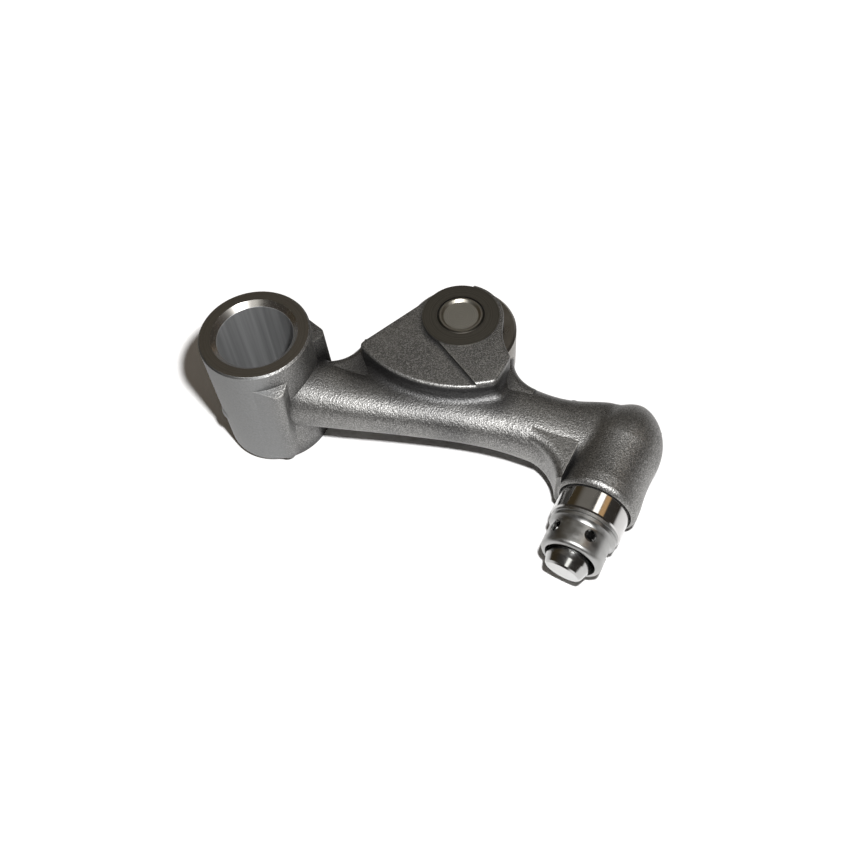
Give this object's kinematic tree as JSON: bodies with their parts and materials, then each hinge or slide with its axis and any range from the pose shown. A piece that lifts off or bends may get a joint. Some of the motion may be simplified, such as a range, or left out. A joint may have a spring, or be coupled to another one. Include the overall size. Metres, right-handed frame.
{
  "type": "roller rocker arm with hydraulic valve tappet",
  "caption": "Dark steel roller rocker arm: a shaft bore at one end, a cam roller between cheeks, and a hydraulic valve tappet with a swivel foot at the other.",
  "frame": {"origin": "centre of the shaft bore, halfway along it, on the forging's middle plane", "axes": "+Z along the shaft bore, +X towards the tappet, and the tappet points along -Y to the valve; the roller is on the +Y side"},
  "size_m": [0.0807, 0.0447, 0.026],
  "materials": {
    "arm_dark_steel": "dark shot-blasted, grainy",
    "pin_steel": "turned",
    "roller_steel": "ground",
    "needle_steel": "ground",
    "tappet_polished": "polished",
    "cage_sheet": "satin pressed sheet",
    "foot_polished": "polished",
    "inner_steel": "ground",
    "spring_steel": "drawn wire"
  },
  "bodies": {
    "arm": {"rocker_arm": "arm_dark_steel", "roller_pin": "pin_steel", "oil_gallery_plug": "pin_steel", "plunger": "inner_steel", "check_valve_cap": "inner_steel", "check_spring": "spring_steel", "plunger_spring": "spring_steel"},
    "roller": {"roller": "roller_steel"},
    "needles": {"needle_01": "needle_steel", "needle_02": "needle_steel", "needle_03": "needle_steel", "needle_04": "needle_steel", "needle_05": "needle_steel", "needle_06": "needle_steel", "needle_07": "needle_steel", "needle_08": "needle_steel", "needle_09": "needle_steel", "needle_10": "needle_steel", "needle_11": "needle_steel", "needle_12": "needle_steel", "needle_13": "needle_steel", "needle_14": "needle_steel", "needle_15": "needle_steel", "needle_16": "needle_steel"},
    "tappet": {"tappet_cup": "tappet_polished", "foot_cage": "cage_sheet", "retaining_ring": "spring_steel"},
    "foot": {"swivel_foot": "foot_polished"},
    "check_ball": {"check_ball": "inner_steel"}
  },
  "joints": [
    {"name": "roller_spin", "type": "hinge", "parent": "arm", "child": "roller", "pos_m": [0.029, 0.0221, 0], "axis": [0, 0, 1], "continuous": true},
    {"name": "needle_orbit", "type": "hinge", "parent": "arm", "child": "needles", "pos_m": [0.029, 0.0221, 0], "axis": [0, 0, 1], "continuous": true},
    {"name": "tappet_slide", "type": "slide", "parent": "arm", "child": "tappet", "axis": [0, 1, 0], "range_m": [0, 0.003], "stiffness_N_per_m": 2000, "springref_m": -0.004, "deforming": ["plunger_spring"]},
    {"name": "foot_swivel", "type": "hinge", "parent": "tappet", "child": "foot", "pos_m": [0.06395, -0.007, 0], "axis": [-0.9219, 0, 0.3875], "range_deg": [0, 20.6]},
    {"name": "check_ball_lift", "type": "slide", "parent": "arm", "child": "check_ball", "axis": [0, -1, 0], "range_m": [0, 0.0003], "stiffness_N_per_m": 20, "springref_m": -0.0003, "deforming": ["check_spring"]}
  ],
  "couplings": [
    {"joint": "needle_orbit", "follows": "roller_spin", "ratio": 0.5974}
  ]
}
